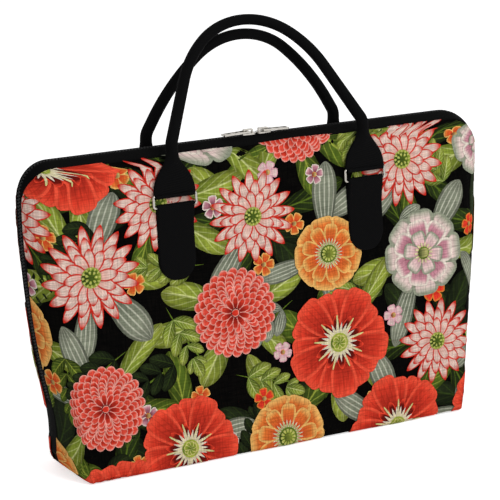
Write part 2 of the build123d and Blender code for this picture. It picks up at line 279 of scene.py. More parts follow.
def weave(material, strength):
    """Two crossed thread sets. Each is a noise that is long along its thread. Gives the painted light of the
    weave, a painted highlight on each thread top and painted shade in the gaps, and a bump normal."""
    place = add_node(material, "UVMap", uv_map="cloth")
    sets = []
    for run, rise in ((slub_length, thread_pitch), (thread_pitch, slub_length)):
        along = add_node(
            material, "Mapping", {"Vector": place.outputs["UV"], "Scale": (1 / run, 1 / rise, 1)}
        )
        noise = add_node(
            material, "TexNoise", {"Vector": along.outputs[0], "Scale": 1.0, "Detail": 2.0}
        )
        sets.append(noise.outputs["Fac"])
    crossed = add_node(material, "Math", {0: sets[0], 1: sets[1]}, operation="MULTIPLY")
    # light is painted light: high on the thread tops, a painted highlight, and low in the gaps between them,
    # painted shade.
    light = add_node(
        material,
        "MapRange",
        {"Value": crossed.outputs[0], "From Min": 0.12, "From Max": 0.38, "To Min": 0.0, "To Max": 1.0},
    )
    bump = add_node(
        material, "Bump", {"Height": light.outputs[0], "Strength": strength, "Distance": 0.0004}
    )
    return light.outputs[0], bump.outputs[0]


def dark_cloth(material, height, bump, low, high, roughness, specular):
    """Finishes a dark cloth: matt, and a little lighter where each thread stands up: a painted highlight on
    the thread tops and painted shade in the gaps between them.
    """
    # Painted light: the colour runs from low, the painted shade in the gaps, to high, the painted highlight
    # on the thread tops, by the height of the weave.
    tone = add_node(
        material, "Mix", {"Factor": height, "A": linear(low), "B": linear(high)}, data_type="RGBA"
    )
    looks = {"Base Color": tone.outputs["Result"], "Roughness": roughness, "Normal": bump}
    looks["Specular IOR Level"] = specular
    finish_material(material, add_node(material, "BsdfPrincipled", looks))


# Dyed black ground of the print: ink on linen, matt, with a painted highlight on the thread tops and painted
# shade in the gaps between them.
ground_cloth = new_material("printed_linen_black_ground")
threads, bump = weave(ground_cloth, 0.6)
dark_cloth(ground_cloth, threads, bump, "#020202", "#080706", 0.9, 0.02)

# Half of the face's outline, from the fold up the side and round the corner to the middle.
fan_shares = np.linspace(0, 1, 15) ** 0.8
roll_steps = np.linspace(0, 1, 13)
side_heights = fold_radius + (shoulder_v - fold_radius) * np.linspace(0, 1, 42) ** 1.15
corner_turns = np.linspace(0, np.pi / 2, 14)[1:]
top_places = corner_x * np.linspace(1, 0, 26)[1:]
rim_u = np.concatenate(
    [half_width(side_heights, 0), corner_x + corner_radius * np.cos(corner_turns), top_places]
)
rim_v = np.concatenate(
    [side_heights, shoulder_v + corner_radius * np.sin(corner_turns), np.full(25, face_top)]
)
rim_turn = np.concatenate([np.zeros(42), corner_turns, np.full(25, np.pi / 2)])
rim_share = np.clip(rim_v / bag_height, 0, 1)
rim_drop = face_depth_foot + (face_depth_top - face_depth_foot) * rim_share - seam_depth(rim_turn)
rim_out = np.hypot(side_roll * np.cos(rim_turn), top_roll * np.sin(rim_turn))
rim_arc = roll_arc(rim_out, rim_drop)


def body_patches(side):
    """Half of the body: a fan over the face, the roll to the seam, the fold and the base.
    The fan's points are the outline drawn in towards the middle of the lower edge."""
    face_u = rim_u[:, None] * fan_shares
    face_v = fold_radius + (rim_v[:, None] - fold_radius) * fan_shares
    roll_u = rim_u[:, None] + rim_arc[:, None] * roll_steps * np.cos(rim_turn)[:, None]
    roll_v = rim_v[:, None] + rim_arc[:, None] * roll_steps * np.sin(rim_turn)[:, None]
    fold_half = half_width(fold_radius, 0)
    edge_u = np.concatenate([fold_half * fan_shares, fold_half + rim_arc[0] * roll_steps[1:]])
    fold_v = np.linspace(fold_radius, under_v, 7)[:, None]
    base_v = np.linspace(under_v, base_middle_v, 12)[:, None]
    patches = []
    for hand in (-1, 1):
        flip = (hand * side) > 0
        for u, v, turn_round in (
            (face_u, face_v, flip),
            (roll_u, roll_v, flip),
            (edge_u, fold_v, not flip),
            (foot_half * fan_shares, base_v, not flip),
        ):
            u, v = np.broadcast_arrays(hand * u, v)
            patches.append((on_bag(u, v, 0, side), np.stack([u, v], axis=-1), turn_round))
    return patches


def foot_patch(hand):
    """The cloth between the two seams below the gusset, at one end of the base."""
    height, depth = np.meshgrid(np.linspace(0, gusset_foot_z, 7), np.linspace(-1, 1, 9), indexing="ij")
    points = np.stack([hand * half_width(height, 1), seam_side * depth, height], axis=-1)
    return slump(points), np.stack([height, seam_side * depth], axis=-1), hand < 0


cloth_body = make_piece(
    "cloth_body_padded",
    body_patches(-1) + body_patches(1) + [foot_patch(-1), foot_patch(1)],
    ground_cloth,
    "bag",
    weld=0.05,
)
thicken(cloth_body, 3.0)
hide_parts("cloth_body")


# Floral print
# Ink on the cloth: big blooms over leaves, sprigs and small blossoms on black. Each petal
# or leaf is a thin patch laid on the panel, with its veins and edges drawn by the shader.
print_cloth = new_material("printed_linen_inks")
threads, bump = weave(print_cloth, 0.6)
dye = add_node(print_cloth, "Attribute", attribute_name="dye")
heart = add_node(print_cloth, "Attribute", attribute_name="heart")
rim_ink = add_node(print_cloth, "Attribute", attribute_name="rim_ink")
petal = add_node(print_cloth, "Attribute", attribute_name="petal")
petal_part = add_node(print_cloth, "SeparateXYZ", {"Vector": petal.outputs["Vector"]})
across, along, ribs = petal_part.outputs

# Each row adds one node: its name, its operation, and its inputs, which are numbers or the
# names of rows above. RANGE is a range mapped to another, and the rest are sums. across
# and along are the place on the petal or leaf, and ribs says what it is: 0 for a petal, 1
# for a leaf with veins and 2 for a leaf with stripes.
drawing = {"across": across, "along": along, "ribs": ribs, "threads": threads}
for name, operation, *inputs in (
    ("leafy", "GREATER_THAN", "ribs", 0.5),
    ("striped", "GREATER_THAN", "ribs", 1.5),
    ("petal_only", "SUBTRACT", 1.0, "leafy"),
    ("not_striped", "SUBTRACT", 1.0, "striped"),
    ("plain_leaf", "MULTIPLY", "leafy", "not_striped"),
    ("span", "ABSOLUTE", "across"),
    ("glow", "POWER", "along", 1.4),
    ("vein_slant", "MULTIPLY", "span", -1.9),
    ("vein_place", "MULTIPLY_ADD", "along", 6.0, "vein_slant"),
    ("vein", "PINGPONG", "vein_place", 0.5),
    ("stripe_place", "MULTIPLY", "across", 2.6),
    ("stripe", "PINGPONG", "stripe_place", 0.5),
    ("vein_fade", "RANGE", "vein", 0.02, 0.14, 1.0, 0.0),
    ("stripe_fade", "RANGE", "stripe", 0.04, 0.2, 1.0, 0.0),
    ("spine_fade", "RANGE", "span", 0.03, 0.11, 1.0, 0.0),
    ("vein_line", "MULTIPLY", "vein_fade", 0.55),
    ("stripe_line", "MULTIPLY", "stripe_fade", 0.8),
    ("spine_line", "MULTIPLY", "spine_fade", 0.9),
    ("leaf_line", "MAXIMUM", "vein_line", "spine_line"),
    ("leaf_pale", "MULTIPLY", "plain_leaf", "leaf_line"),
    ("stripe_pale", "MULTIPLY", "striped", "stripe_line"),
    ("line_pale", "MAXIMUM", "leaf_pale", "stripe_pale"),
    ("tip", "MULTIPLY", "along", 0.86),
    ("outer", "MAXIMUM", "span", "tip"),
    ("inner", "RANGE", "outer", 0.68, 0.82, 1.0, 0.0),
    ("edge", "SUBTRACT", 1.0, "inner"),
    ("pale", "MULTIPLY_ADD", "edge", "petal_only", "line_pale"),
    ("rib_fade", "RANGE", "stripe", 0.02, 0.16, 1.0, 0.0),
    ("petal_rib", "MULTIPLY", "rib_fade", "petal_only"),
    ("far_half", "GREATER_THAN", "across", 0.0),
    ("turned_away", "MULTIPLY", "plain_leaf", "far_half"),
    ("leaf_shade", "MULTIPLY_ADD", "turned_away", -0.3, 1.0),
    ("rib_shade", "MULTIPLY_ADD", "petal_rib", -0.22, "leaf_shade"),
    ("leaf_edge", "MULTIPLY", "leafy", "edge"),
    ("edge_shade", "MULTIPLY_ADD", "leaf_edge", -0.45, 1.0),
    ("shade", "MULTIPLY", "rib_shade", "edge_shade"),
    # thread_shade is painted light: the inks are darkened in painted shade in the weave's gaps and lifted in
    # a painted highlight on the thread tops.
    ("thread_shade", "RANGE", "threads", 0.0, 1.0, 0.66, 1.12),
    ("tone", "MULTIPLY", "shade", "thread_shade"),
):
    values = [drawing.get(value, value) for value in inputs]
    if operation == "RANGE":
        links = dict(zip(("Value", "From Min", "From Max", "To Min", "To Max"), values))
        node = add_node(print_cloth, "MapRange", links)
    else:
        node = add_node(print_cloth, "Math", dict(enumerate(values)), operation=operation)
    drawing[name] = node.outputs[0]

petal_ink = add_node(
    print_cloth,
    "Mix",
    {"Factor": drawing["glow"], "A": heart.outputs["Color"], "B": dye.outputs["Color"]},
    data_type="RGBA",
)
line_ink = add_node(
    print_cloth,
    "Mix",
    {"Factor": drawing["pale"], "A": petal_ink.outputs["Result"], "B": rim_ink.outputs["Color"]},
    data_type="RGBA",
)
inked = add_node(
    print_cloth,
    "VectorMath",
    {0: line_ink.outputs["Result"], "Scale": drawing["tone"]},
    operation="SCALE",
)
print_shader = add_node(
    print_cloth,
    "BsdfPrincipled",
    {"Base Color": inked.outputs[0], "Roughness": 0.82, "Normal": bump, "Specular IOR Level": 0.04},
)
finish_material(print_cloth, print_shader)

coral, scarlet, deep_red, blush = "#de402b", "#c42a1d", "#7a130e", "#e3988b"
cream, rose, orange, amber = "#d9cdc0", "#d298a4", "#d47c33", "#dca95f"
lime, moss, olive, night_leaf = "#9ba640", "#5a7021", "#303f18", "#0f150b"
sage, mist, straw, plum = "#535a4a", "#8a8f7b", "#cbc47c", "#6a2032"
bark, frost, fern = "#252f18", "#bfc0ad", "#c9cf88"
salmon, peach, ember = "#dc5644", "#d18b7e", "#dd4c35"
leaf_inks = (
    ((moss, lime, fern), 1.0, 1.0),
    ((night_leaf, bark, olive), 1.0, 0.5),
    ((night_leaf, olive, moss), 1.0, 0.6),
    ((olive, moss, lime), 1.0, 0.9),
    ((sage, mist, frost), 2.0, 1.2),
)


# One patch of ink: its place and heading on the cloth, its length and half width, how far
# its middle line bends, the powers of its two ends, its inks at the heart, over the rest
# and in its lines, its ribs, its layer, and its rank among all patches of the panel.
Motif = namedtuple(
    "Motif", "u v heading length half bend begin_power end_power heart dye rim ribs layer rank"
)


class Motifs:
    """Gathers the patches of one panel's print."""

    def __init__(self):
        self.rows = []

    def patch(self, u, v, heading, length, half, inks, bend=0.0, ends=(0.7, 0.4), ribs=0.0, level=0):
        self.rows.append(Motif(u, v, heading, length, half, bend, *ends, *inks, ribs, level, 0))

    def ring(self, u, v, count, length, half, inks, inner=0.0, turn=0.0, level=3, **more):
        for index in range(count):
            heading = turn + index * 2 * np.pi / count
            begin_u, begin_v = u + inner * np.cos(heading), v + inner * np.sin(heading)
            self.patch(begin_u, begin_v, heading, length, half, inks, level=level, **more)

    def disc(self, u, v, radius, inks, level=3):
        self.patch(u - radius, v, 0.0, 2 * radius, radius, inks, ends=(0.5, 0.5), level=level)


def poppy(sheet, u, v, size, turn):
    """Broad flower of five ruffled petals, each drawn as three lobes, round a pale fringe
    with long stamens."""
    for lobe, share, level in ((0.27, 0.93, 3.0), (-0.25, 0.9, 3.1), (0.0, 1.0, 3.2)):
        sheet.ring(
            u, v, 5, size * share, size * 0.27, (deep_red, coral, ember),
            turn=turn + lobe, bend=0.3 * lobe, level=level, ends=(0.9, 0.26),
        )
    for count, long, half, inks, level, ends in (
        (10, 0.5, 0.09, (night_leaf, deep_red, coral), 3.4, (0.5, 0.6)),
        (22, 0.36, 0.035, (straw, cream, cream), 3.5, (0.4, 0.9)),
    ):
        sheet.ring(u, v, count, size * long, size * half, inks, turn=turn, level=level, ends=ends)
    sheet.ring(u, v, 9, size * 0.5, size * 0.018, (cream, straw, straw), turn=turn + 0.3, level=3.6)
    sheet.disc(u, v, size * 0.17, (moss, straw, lime), level=3.8)
    sheet.ring(u, v, 8, size * 0.14, size * 0.05, (moss, lime, straw), turn=turn, level=3.9)


def star(sheet, u, v, size, turn):
    """Three rows of pointed petals, pale with a red edge, round a green eye."""
    for row, (share, count) in enumerate(((1.0, 16), (0.78, 14), (0.55, 12))):
        sheet.ring(
            u, v, count, size * share, size * 0.125, (peach, cream, scarlet),
            turn=turn + 0.21 * row, level=3 + 0.2 * row, ends=(1.1, 0.75),
        )
    sheet.disc(u, v, size * 0.2, (olive, moss, lime), level=3.7)
    for inner, count in ((0.13, 12), (0.06, 7)):
        sheet.ring(u, v, count, size * 0.07, size * 0.03, (lime, straw, moss), inner=size * inner, level=3.8)


def pompom(sheet, u, v, size, turn):
    """Ball of many small pointed petals that overlap like scales, in rings that close
    towards the middle."""
    for step in range(8):
        share = 1 - step / 8
        inks = ((scarlet, salmon, blush), (deep_red, coral, blush))[step % 2]
        sheet.ring(
            u, v, 8 + int(16 * share), size * 0.3, size * (0.07 + 0.06 * share), inks,
            inner=size * 0.72 * share, turn=turn + 0.15 * step, level=3 + 0.1 * step, ends=(0.6, 0.55),
        )
    sheet.disc(u, v, size * 0.09, (scarlet, coral, blush), level=3.9)


def peony(sheet, u, v, size, turn):
    """Cupped pale petals, three rows, with a rose heart and a green eye."""
    for row, (share, count) in enumerate(((1.0, 8), (0.78, 7), (0.52, 6))):
        inks = ((rose, cream, mist), (plum, rose, cream))[row % 2]
        sheet.ring(
            u, v, count, size * share, size * 0.36 * share, inks,
            turn=turn + 0.4 * row, level=3 + 0.2 * row, ends=(0.8, 0.28),
        )
    sheet.disc(u, v, size * 0.15, (olive, straw, moss), level=3.7)
    sheet.ring(u, v, 14, size * 0.1, size * 0.025, (straw, cream, straw), inner=size * 0.14, level=3.8)


def cosmos(sheet, u, v, size, turn):
    """Nine rounded orange petals with a pale edge and a large green fringed head."""
    for count, long, half, inks, later, level, ends in (
        (9, 1.0, 0.36, (scarlet, orange, amber), 0.0, 3, (0.9, 0.26)),
        (9, 0.8, 0.2, (scarlet, orange, amber), 0.35, 3.2, (0.9, 0.3)),
        (26, 0.42, 0.035, (moss, straw, cream), 0.0, 3.4, (0.5, 0.8)),
    ):
        sheet.ring(u, v, count, size * long, size * half, inks, turn=turn + later, level=level, ends=ends)
    sheet.disc(u, v, size * 0.24, (olive, lime, moss), level=3.6)
    sheet.ring(u, v, 12, size * 0.11, size * 0.04, (lime, straw, moss), inner=size * 0.1, level=3.7)


def blossom(sheet, u, v, size, turn, inks):
    """Small flower of five round petals."""
    sheet.ring(u, v, 5, size, size * 0.42, inks, turn=turn, level=2.2, ends=(0.9, 0.3))
    sheet.disc(u, v, size * 0.26, (deep_red, straw, orange), level=2.6)


def sprig(sheet, u, v, heading, inks, ribs):
    """Curved stem with pairs of pointed leaves that grow smaller towards its tip."""
    sheet.patch(u, v, heading, 58.0, 0.7, (moss, moss, moss), bend=0.12, level=0.2)
    for step in range(1, 5):
        reach, long = 12.0 * step, 25.0 - 3.0 * step
        at_u, at_v = u + reach * np.cos(heading), v + reach * np.sin(heading)
        for hand in (-1, 1):
            sheet.patch(
                at_u, at_v, heading + hand * 0.85, long, long * 0.26, inks,
                bend=-0.12 * hand, ribs=ribs, level=1.4, ends=(0.8, 0.65),
            )
    sheet.patch(at_u, at_v, heading, 18.0, 5.0, inks, ribs=ribs, level=1.5, ends=(0.8, 0.65))


# The print runs on past the panel's edges, so that motifs are cut off there.
print_low, print_high, darts, print_edge = (-232, -34), (232, 276), 6000, 215


def scatter(random, wanted, gap, taken):
    """Places by dart throwing: a dart stays if it is a gap away from all places before. Small
    motifs keep a fifth of their gap more to those that come after."""
    places = []
    for u, v in random.uniform(print_low, print_high, (darts, 2)):
        if all((u - a) ** 2 + (v - b) ** 2 > (gap + c) ** 2 for a, b, c in taken):
            taken.append((u, v, 0.0 if gap > 40 else gap * 0.2))
            places.append((u, v))
            if len(places) == wanted:
                break
    return places


def printed_sheet(seed):
    """The whole print of one panel: blooms, the leaves behind them, sprigs and blossoms."""
    random, sheet, taken = np.random.RandomState(seed), Motifs(), []
    blooms = (poppy, star, pompom, cosmos, peony, poppy, star, cosmos)
    sizes = {poppy: 43.0, star: 39.0, pompom: 33.0, cosmos: 32.0, peony: 36.0}
    for index, (u, v) in enumerate(scatter(random, 40, 74.0, taken)):
        bloom, turn = blooms[index % len(blooms)], random.uniform(0, 2 * np.pi)
        bloom(sheet, u, v, sizes[bloom] * random.uniform(0.92, 1.08), turn)
        for leaf in range(6):
            heading = turn + leaf * 1.05 + random.uniform(-0.25, 0.25)
            inks, ribs, level = leaf_inks[random.choice([0, 0, 1, 2, 3, 4])]
            length, half, bend = random.uniform(62, 84), random.uniform(8, 13), random.uniform(-0.2, 0.2)
            sheet.patch(
                u, v, heading, length, half, inks,
                bend=bend, ribs=ribs, level=level, ends=(1.6, 0.7),
            )
    for u, v in scatter(random, 26, 44.0, taken):
        inks, ribs, _ = leaf_inks[random.choice([0, 0, 1, 3, 4])]
        sprig(sheet, u, v, random.uniform(0, 2 * np.pi), inks, ribs)
    small = (
        (scarlet, orange, amber),
        (rose, cream, rose),
        (plum, rose, cream),
        (scarlet, coral, orange),
    )
    for u, v in scatter(random, 60, 33.0, taken):
        blossom(sheet, u, v, random.uniform(8, 11), random.uniform(0, 6), small[random.randint(4)])
    return sheet


# Points along and across a patch, for broad, long and small ones, and the sizes in mm
# that part them. The ink lies a little proud, higher with its layer and its rank.
grid_broad, grid_long, grid_small = (17, 11), (13, 5), (7, 5)
broad_half, long_length = 6.5, 14
ink_lift, layer_lift, rank_lift = 0.22, 0.09, 0.0007


def patch_points(rows, grid):
    """All patches at once. Along the patch r goes 0 to 1, across it a goes -1 to 1. The half
    width is r to the first power times one less r to the second, scaled to peak at 1, and
    the middle line bends as r squared."""
    number = np.array([row[:8] for row in rows])
    u, v, heading, length, half, bend, first, second = (column[:, None, None] for column in number.T)
    r = (1 - np.cos(np.pi * np.linspace(0, 1, grid[0])))[None, :, None] / 2
    a = np.linspace(-1, 1, grid[1])[None, None, :]
    peak = first / (first + second)
    width = r**first * (1 - r) ** second / (peak**first * (1 - peak) ** second)
    reach, off = length * r, half * width * a + bend * length * r**2
    flat_u = u + reach * np.cos(heading) - off * np.sin(heading)
    flat_v = v + reach * np.sin(heading) + off * np.cos(heading)
    return flat_u, flat_v, np.broadcast_to(a, flat_u.shape), np.broadcast_to(r, flat_u.shape)


def print_piece(name, rows, side):
    """Lays patches on a panel as one mesh, without those that miss it. Each point keeps its
    place on the patch, with the ribs, and the patch's three inks."""
    corners, cloth, petals, faces, count = [], [], [], [], 0
    colours = {"heart": [], "dye": [], "rim_ink": []}
    for grid, chosen in (
        (grid_broad, [row for row in rows if row.half > broad_half]),
        (grid_long, [row for row in rows if row.half <= broad_half and row.length > long_length]),
        (grid_small, [row for row in rows if row.half <= broad_half and row.length <= long_length]),
    ):
        u, v, a, r = patch_points(chosen, grid)
        lift = np.array([ink_lift + layer_lift * row.layer + rank_lift * row.rank for row in chosen])
        ribs = np.array([row.ribs for row in chosen])[:, None, None] * np.ones_like(u)
        inside = (v.max(axis=(1, 2)) > base_middle_v) & (np.abs(u).min(axis=(1, 2)) < print_edge)
        v = np.maximum(v, base_middle_v)
        points = on_bag(u, v, lift[:, None, None], side)[inside]
        corners.append(points.reshape(-1, 3))
        cloth.append(np.stack([u, v], axis=-1)[inside].reshape(-1, 2))
        petals.append(np.stack([a, r, ribs], axis=-1)[inside].reshape(-1, 3))
        codes = ([row.heart, row.dye, row.rim] for row in chosen)
        inks = np.array([[linear(code) for code in three] for three in codes])[inside]
        for part, title in enumerate(colours):
            colours[title].append(np.repeat(inks[:, part], grid[0] * grid[1], axis=0))
        starts = count + np.arange(len(points))[:, None, None] * grid[0] * grid[1]
        faces.append((grid_faces(*grid, 0, side < 0) + starts).reshape(-1, 4))
        count += len(points) * grid[0] * grid[1]
    faces = np.concatenate(faces)
    piece = new_piece(name, np.concatenate(corners), faces, print_cloth, "bag")
    lay_flat(piece.data, np.concatenate(cloth), faces)
    field = piece.data.attributes.new("petal", "FLOAT_VECTOR", "POINT")
    field.data.foreach_set("vector", np.concatenate(petals).astype(np.float32).ravel())
    for title, inks in colours.items():
        field = piece.data.attributes.new(title, "FLOAT_COLOR", "POINT")
        field.data.foreach_set("color", np.concatenate(inks).astype(np.float32).ravel())


for face_name, seed, side in (("front", 11, -1), ("back", 29, 1)):
    stack = sorted(printed_sheet(seed).rows, key=lambda row: row.layer)
    stack = [row._replace(rank=place) for place, row in enumerate(stack)]
    print_piece(f"print_leaves_{face_name}", [row for row in stack if row.layer < 2], side)
    print_piece(f"print_blooms_{face_name}", [row for row in stack if row.layer >= 2], side)


# Zip gusset
# Two strips of black cotton twill, turned under along the zip and sewn to the panels, and one
# short strip at the foot of each side. They follow the outline of the bag.
zip_foot_z, chain_half, twill_thick = 62.0, 3.0, 1.2
seam_stand, strip_rise, strip_crown, foot_past = 0.7, 0.1, 0.5, 0.6
crest_half, crest_foot_half, crest_top = 200.0, 172.0, 250.0


def surface_grain(material, scale, detail):
    """Fine noise on the piece's own coordinates: what moulding, casting or a plain weave
    leaves. The scale is in cells per metre."""
    place = add_node(material, "TexCoord")
    grain = {"Vector": place.outputs["Object"], "Scale": scale, "Detail": detail}
    return add_node(material, "TexNoise", grain).outputs["Fac"]


# Twill is matt and dark. Its ribs are drawn as a fine noise, about 1 mm from rib to rib, which gives their
# bump and also a painted highlight on the rib tops, with painted shade in the hollows between them.
black_twill = new_material("black_cotton_twill")
twill_ribs = surface_grain(black_twill, 900.0, 2.0)
twill_bump = add_node(black_twill, "Bump", {"Height": twill_ribs, "Strength": 0.5, "Distance": 0.0003})
dark_cloth(black_twill, twill_ribs, twill_bump.outputs[0], "#020202", "#080808", 0.85, 0.03)


def outline(count_side, low, reach, foot, top):
    """Outline of the bag from one side's height low, over the top, to the other side: the
    bowed sides, a quarter circle at each corner and a straight top. Gives x, z and the
    outward direction, which is the line's own direction turned by a quarter."""
    shoulder = top - corner_radius
    heights = np.linspace(low, shoulder, count_side)
    turns = np.linspace(0, np.pi / 2, 16)[1:]
    places = np.linspace(reach - corner_radius, 0, 40)[1:]
    side_x = bowed_half_width(heights, reach, foot, shoulder)
    x = np.concatenate([side_x, reach - corner_radius * (1 - np.cos(turns)), places])
    z = np.concatenate([heights, shoulder + corner_radius * np.sin(turns), np.full(39, top)])
    x, z = np.concatenate([-x, x[-2::-1]]), np.concatenate([z, z[-2::-1]])
    run_x, run_z = np.gradient(x), np.gradient(z)
    size = np.hypot(run_x, run_z)
    return x, z, -run_z / size, run_x / size


crest_line = (crest_half, crest_foot_half, crest_top)
seam_outline = (face_half + side_roll, foot_half + foot_roll, face_top + top_roll)

# Past the folded edge, the zip's tape runs on under the teeth, almost to the middle.
tape_level, tape_depth = np.array([-0.9, -1.5, -1.5]), np.array([2.9, 2.3, 0.1])


def strip(sign):
    """A strip from the seam up to the zip at the crest. Across it, s goes from 0 at the seam
    to 1 at the zip: a straight slope, with a shallow crown and a rounded fold at each edge.
    Three more rows of points are the tape below the teeth."""
    low_x, low_z, out_x, out_z = outline(46, zip_foot_z, *seam_outline)
    high_x, high_z, high_out_x, high_out_z = outline(46, zip_foot_z, *crest_line)
    s = (1 - np.cos(np.pi * np.linspace(0, 1, 11)))[None, :] / 2
    swing = np.arctan2(np.clip(out_z, 0, None), np.abs(out_x)) * (low_z > shoulder_v)
    depth = (seam_depth(swing) + seam_stand)[:, None] * (1 - s) + chain_half * s
    rise = strip_rise + strip_crown * (1 - (2 * s - 1) ** 8)
    x = low_x[:, None] * (1 - s) + high_x[:, None] * s + out_x[:, None] * rise
    z = low_z[:, None] * (1 - s) + high_z[:, None] * s + out_z[:, None] * rise
    x = np.concatenate([x, high_x[:, None] + high_out_x[:, None] * tape_level], axis=1)
    z = np.concatenate([z, high_z[:, None] + high_out_z[:, None] * tape_level], axis=1)
    depth = np.concatenate([depth, np.broadcast_to(tape_depth, (len(depth), 3))], axis=1)
    run = np.cumsum(np.hypot(np.gradient(low_x), np.gradient(low_z)))
    cloth = np.stack(np.broadcast_arrays(run[:, None], depth), axis=-1)
    return slump(np.stack([x, sign * depth, z], axis=-1)), cloth


for name, sign in (("front", -1), ("back", 1)):
    points, cloth = strip(sign)
    gusset = make_piece(f"zip_gusset_{name}", [(points, cloth, sign < 0)], black_twill, "bag")
    thicken(gusset, twill_thick)
    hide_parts(f"gusset_{name}")

# The foot strip bulges as one less the depth's share to the power 1.5.
heights, depths = np.linspace(gusset_foot_z, zip_foot_z, 16), np.linspace(-1, 1, 13)
for name, hand in (("left", -1), ("right", 1)):
    height, depth = np.meshgrid(heights, depths, indexing="ij")
    low = half_width(height, 1)
    high = bowed_half_width(height, crest_half, crest_foot_half, crest_top - corner_radius)
    rise = strip_crown + (high - low) * (1 - np.abs(depth) ** 1.5)
    across_seam = seam_side + foot_past
    points = slump(np.stack([hand * (low + rise), across_seam * depth, height], axis=-1))
    cloth = np.stack([height, across_seam * depth], axis=-1)
    foot_gusset = make_piece(f"foot_gusset_{name}", [(points, cloth, hand < 0)], black_twill, "bag")
    thicken(foot_gusset, twill_thick)
    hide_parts(f"side_gusset_{name}")


# Zip teeth
# Moulded black teeth clamped on the two tape edges, half a pitch apart, meeting in the
# middle of the gusset. They run from one foot strip over the top to the other.
tooth_pitch, tooth_proud, nose_past = 2.6, 0.3, 0.3
tooth_along = np.array([-0.85, 0.85, 0.85, -0.85]) * np.array([1.0, 1.0, 0.7, 0.7])[:, None]
tooth_level = np.array([-1.3, -0.2, tooth_proud, tooth_proud])[:, None]
tooth_depth = np.array([chain_half, chain_half, -nose_past, -nose_past])
# Moulded acetal is dull, with a roughness that changes a little from place to place.
black_acetal = new_material("black_moulded_acetal")
acetal_rough = add_node(
    black_acetal,
    "MapRange",
    {"Value": surface_grain(black_acetal, 400.0, 2.0), "To Min": 0.55, "To Max": 0.75},
)
acetal_shader = add_node(
    black_acetal,
    "BsdfPrincipled",
    {"Base Color": linear("#020202"), "Roughness": acetal_rough.outputs[0], "Specular IOR Level": 0.08},
)
finish_material(black_acetal, acetal_shader)


def tooth_row(sign, shift):
    """Teeth at even steps along the outline. A tooth is a stack of four rectangles, narrower
    towards its top, and its 16 corners are carried to every place at once."""
    x, z, out_x, out_z = outline(200, zip_foot_z, *crest_line)
    run = np.concatenate([[0], np.cumsum(np.hypot(np.diff(x), np.diff(z)))])
    places = np.arange(tooth_pitch * (0.5 + shift), run[-1] - tooth_pitch, tooth_pitch)
    at = [np.interp(places, run, value)[:, None, None] for value in (x, z, out_x, out_z)]
    px = at[0] + at[2] * tooth_level + at[3] * tooth_along
    pz = at[1] + at[3] * tooth_level - at[2] * tooth_along
    depth = np.broadcast_to(sign * tooth_depth, px.shape)
    return slump(np.stack([px, depth, pz], axis=-1))


# The faces of one tooth: four walls between each pair of rectangles, and the two ends.
walls = [(4 * k + i, 4 * k + (i + 1) % 4) for k in range(3) for i in range(4)]
tooth_faces = np.array([(i, j, j + 4, i + 4) for i, j in walls] + [(3, 2, 1, 0), (12, 13, 14, 15)])
for name, sign, shift in (("front", -1, 0.0), ("back", 1, 0.5)):
    teeth = tooth_row(sign, shift)
    box = tooth_faces if sign < 0 else tooth_faces[:, ::-1]
    faces = (box[None] + 16 * np.arange(len(teeth))[:, None, None]).reshape(-1, 4)
    row = new_piece(f"teeth_{name}", teeth.reshape(-1, 3), faces, black_acetal, "bag")
    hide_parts(f"zip_teeth_{name}")


# Sliders, pulls and wire rings
# Zinc die castings and bent steel wire, plated with bright nickel. They keep the shape of
# the frame, and their material adds fine casting marks and light wear.

# Nickel plate mirrors the light, a little blurred and uneven from the casting under it.
bright_nickel = new_material("bright_nickel_plate")
plate_grain = surface_grain(bright_nickel, 600.0, 3.0)
plate_rough = add_node(bright_nickel, "MapRange", {"Value": plate_grain, "To Min": 0.16, "To Max": 0.3})
plate_bump = add_node(
    bright_nickel, "Bump", {"Height": plate_grain, "Strength": 0.08, "Distance": 0.0001}
)
plate_shader = add_node(
    bright_nickel,
    "BsdfPrincipled",
    {
        "Base Color": linear("#a39f98"),
        "Metallic": 1.0,
        "Roughness": plate_rough.outputs[0],
        "Normal": plate_bump.outputs[0],
    },
)
finish_material(bright_nickel, plate_shader)
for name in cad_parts:
    if name.startswith(("slider", "pull", "ring")):
        node = bpy.data.objects[name]
        node.data.materials.clear()
        node.data.materials.append(bright_nickel)


# Strap tabs
# Doubled black webbing with a round end, sewn flat on the panel. It goes round the lower
# bar of a ring. Its border is rounded, and it grows thicker towards the ring.
ring_height, ring_pitch, stand_off = 208.0, 9.0, 3.6
strap_half, tab_length, wire_half = 16.5, 58.5, 1.1
tab_thick, tab_taper, tab_sink, tab_edge = 2.4, 18.0, 0.6, 1.4
eye_radius, eye_rolled = 2.45, 0.9
# Polyester webbing is matt. Its slanting ribs, 0.6 mm apart on the real one, are drawn about 1.3 mm apart so
# that they show. They give a bump, and a painted highlight on the rib tops with painted shade in the hollows
# between them.
black_webbing = new_material("black_polyester_webbing")
web_place = add_node(black_webbing, "UVMap", uv_map="cloth")
web_wave = add_node(
    black_webbing,
    "TexWave",
    {"Vector": web_place.outputs["UV"], "Scale": 0.35, "Distortion": 1.5, "Detail": 2.0},
    wave_type="BANDS",
    bands_direction="DIAGONAL",
)
web_height = web_wave.outputs["Fac"]
web_bump = add_node(black_webbing, "Bump", {"Height": web_height, "Strength": 0.35, "Distance": 0.0003})
dark_cloth(black_webbing, web_height, web_bump.outputs[0], "#020202", "#080809", 0.78, 0.04)


def on_plane(x, v, out, side):
    """A point on the leaning face plane: x across, v up the panel, out from it."""
    y = face_depth_foot - v * np.sin(lean) + out * np.cos(lean)
    z = v * np.cos(lean) + out * np.sin(lean)
    return np.stack(np.broadcast_arrays(x, side * y, z), axis=-1)


